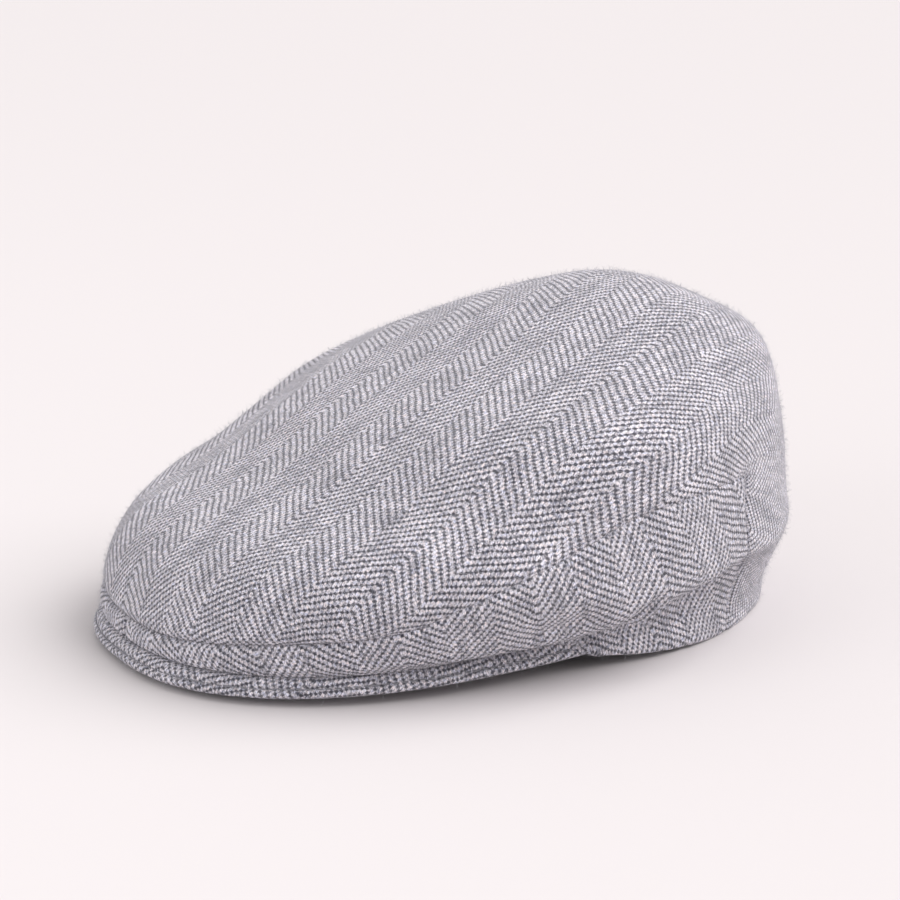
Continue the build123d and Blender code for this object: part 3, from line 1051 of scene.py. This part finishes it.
def sweatband():
    """Standing cotton band: rolled lower hem, sewn line near the top, slightly wavy."""
    n, rows = 480, 31
    deg = np.linspace(0, 360, n, endpoint=False)
    v = np.linspace(0, 1, rows)
    flat = opening(deg, BAND_IN)
    foot = band_foot(flat[:, 1])
    z = foot[:, None] + v[None] * BAND_HEIGHT
    outward = unit(flat)
    hem = 0.55 * bump(v, 0.04, 0.05) - 0.35 * bump(v, 0.13, 0.025)
    sewn = -0.4 * bump(v, 0.90, 0.018) + 0.3 * bump(v, 0.965, 0.04)
    p = np.concatenate([np.repeat(flat[:, None], rows, 1), z[..., None]], -1)
    soft = 0.5 * noise(p, 26, 71, 2) * np.sin(math.pi * v)[None]
    push = -(hem + sewn)[None] + soft
    p[..., :2] += outward[:, None] * push[..., None]
    ob = mesh_from_grid("cotton_sweatband", p, closed=True)
    solidify(ob, 1.1, offset=1.0)
    return finish_piece(ob, band_mat, "sweatband", "sweatband")


LABEL_GAP = 1.15  # mm the label stands in from the band's line


def label():
    """Blank woven size tab at the back, just inside the band, its ends shaped as if folded under."""
    half, low, high = 12.0, 9.0, 23.0
    u, v = np.meshgrid(np.linspace(-1, 1, 61), np.linspace(0, 1, 31), indexing="ij")
    x = u * half
    wide, back = HALF_OPENING * BAND_IN, OPEN_BACK * BAND_IN
    y = OPEN_Y + back * np.sqrt(np.clip(1 - (x / wide) ** 2, 0, 1)) - LABEL_GAP
    edge = np.minimum(1 - np.abs(u), np.minimum(v, 1 - v) * 1.1)
    y = y - 0.45 * smoothstep(edge, 0, 0.08) + 0.25 * bump(np.abs(u), 0.9, 0.03)
    y = y - 0.12 * np.sin(u * 5 + 1) * smoothstep(edge, 0, 0.3)
    grid = np.stack([x, y, low + v * (high - low)], -1)
    ob = mesh_from_grid("blank_size_label", grid)
    solidify(ob, 0.35, offset=0.0)
    return finish_piece(ob, label_mat, "label", "size_label")


sweatband()
label()
deg = np.linspace(0, 360, 721)
flat = opening(deg, BAND_IN)
inward = -unit(flat)
for name, share in (("band_top_stitches", 0.90), ("band_hem_stitches", 0.13)):
    path = np.column_stack([flat + inward * 0.1, band_foot(flat[:, 1]) + share * BAND_HEIGHT])
    stitch_row(name, path, np.column_stack([inward, 0 * deg]), *BAND_STITCH, thread_mat, "thread")

# ------------------------------------------------------------------ loose fibres and cloth facts


def wool_fuzz(obs, per_cm2):
    """Short stray fibres standing off the tweed, each a very thin curved ribbon."""
    verts, faces = [], []
    for ob in obs:
        me = ob.data
        n = len(me.vertices)
        co = np.empty(n * 3)
        me.vertices.foreach_get("co", co)
        no = np.empty(n * 3)
        me.vertices.foreach_get("normal", no)
        co, no = co.reshape(-1, 3) / MM, no.reshape(-1, 3)
        areas = np.empty(len(me.polygons))
        me.polygons.foreach_get("area", areas)
        count = int(areas.sum() * 1e4 * per_cm2)
        pick = rng.choice(len(me.polygons), count, p=areas / areas.sum())
        corners = np.array([me.polygons[int(k)].vertices[:4] for k in pick])
        w = rng.dirichlet([1, 1, 1, 1], count)[..., None]
        base = (co[corners] * w).sum(1)
        up = unit((no[corners] * w).sum(1))
        side = unit(np.cross(up, rng.normal(size=(count, 3))))
        across = np.cross(up, side)
        long = rng.uniform(1.0, 3.8, count)[:, None]
        rise = rng.uniform(0.15, 0.75, count)[:, None] ** 1.5 * long
        bend = rng.normal(0, 0.35, count)[:, None] * long
        start = len(verts)
        rows = []
        for t, half in ((0, 0.042), (0.35, 0.040), (0.7, 0.030), (1.0, 0.010)):
            p = base + side * long * t * 0.8 + up * (rise * math.sin(2.2 * t) + 0.05)
            p = p + across * bend * t * t
            rows += [p - across * half, p + across * half]
        rows = np.stack(rows, 1)
        rows[..., 2] = np.maximum(rows[..., 2], 0.1)
        verts += rows.reshape(-1, 3).tolist()
        for k in range(count):
            b = start + 8 * k
            faces += [(b, b + 1, b + 3, b + 2), (b + 2, b + 3, b + 5, b + 4), (b + 4, b + 5, b + 7, b + 6)]
    ob = mesh_object("wool_fuzz", (np.array(verts) * MM).tolist(), faces)
    return finish_piece(ob, fuzz_mat, "tweed")


def declare_sheet(ob):
    """Works out the flat width and length the cloth was cut to, from its flat pattern; nothing is done with
    them. The lining is shaped apart from its CAD nodes."""
    width, length = cut_size.get(ob.name, np.ptp(get_uv(ob), axis=0)) * MM


fuzz_mat = plain_cloth("loose_wool", (0.62, 0.61, 0.64), (0.40, 0.40, 0.44), 900, 0.00002, rough=0.9)
FIBRES_PER_CM2 = 36
wool_fuzz([sheets[0], sheets[2], sheets[4], peak_upper], FIBRES_PER_CM2)
for cloth in sheets:
    declare_sheet(cloth)

# ------------------------------------------------------------------ stage, light and camera

FLOOR = 60.0  # half its side, in metres
corners = [(-FLOOR, -FLOOR, 0), (FLOOR, -FLOOR, 0), (FLOOR, FLOOR, 0), (-FLOOR, FLOOR, 0)]
floor_ob = mesh_object("floor", corners, [(0, 1, 2, 3)])
fm = bpy.data.materials.new("floor_paper")
fn = Nodes(fm)
fn.surface((0.700, 0.668, 0.672, 1), 0.9, None, Specular_IOR_Level=0.1)
floor_ob.data.materials.append(fm)

SKY_POWER = 0.74
world = bpy.context.scene.world or bpy.data.worlds.new("studio")
bpy.context.scene.world = world
world.use_nodes = True
bg = world.node_tree.nodes.get("Background") or world.node_tree.nodes.new("ShaderNodeBackground")
bg.inputs[0].default_value = (1.0, 0.975, 0.975, 1)
bg.inputs[1].default_value = SKY_POWER
bpy.context.scene.view_settings.view_transform = "Standard"


def area_light(name, at, look, size, power, color=(1, 1, 1)):
    data = bpy.data.lights.new(name, "AREA")
    data.shape = "RECTANGLE"
    data.size, data.size_y = size
    data.energy = power
    data.color = color
    ob = put_object(name, data)
    ob.location = at
    d = np.array(look) - np.array(at)
    ob.rotation_euler = Vector(d).to_track_quat("-Z", "Y").to_euler()


VIEW_AZ, VIEW_EL, VIEW_DIST = 60.5, 14.3, 0.88
LENS = 93.2  # mm, on a 36 mm sensor
AIM_SIDE, AIM_UP = -0.0180, 0.0087  # metres from the middle of the cap to what the camera aims at
az, el = math.radians(VIEW_AZ), math.radians(VIEW_EL)
back = np.array([math.sin(az) * math.cos(el), -math.cos(az) * math.cos(el), math.sin(el)])
right = np.array([math.cos(az), math.sin(az), 0.0])
up = np.cross(back, right)
target = np.array([0, 0, 0.05])
eye = target + back * VIEW_DIST
aim = target + right * AIM_SIDE + up * AIM_UP
cam_data = bpy.data.cameras.new("photo_view")
cam_data.sensor_width = 36
cam_data.lens = LENS
cam_data.clip_end = 50
cam = put_object("photo_view", cam_data)
cam.location = eye
cam.rotation_euler = Vector(aim - eye).to_track_quat("-Z", "Y").to_euler()
bpy.context.scene.camera = cam


def beside(r, b, u):
    """Place in metres: right of, towards and above the camera's view of the cap."""
    flat_back = np.array([math.sin(az), -math.cos(az), 0])
    return tuple(right * r + flat_back * b + np.array([0, 0, u]))


SUN_POWER, SUN_SPREAD = 2.55, 55  # strength, and width in degrees for soft shadows
sun = bpy.data.lights.new("key", "SUN")
sun.energy = SUN_POWER
sun.angle = math.radians(SUN_SPREAD)
sun.color = (1.0, 0.985, 0.985)
sun_ob = put_object("key", sun)
sun_from = Vector(beside(0.95, -0.15, 0.95))
sun_ob.location = sun_from
sun_ob.rotation_euler = sun_from.to_track_quat("Z", "Y").to_euler()
area_light("fill", beside(-1.5, 1.2, 0.7), (0, 0, 0.05), (1.4, 1.4), 9, (0.97, 0.98, 1.0))
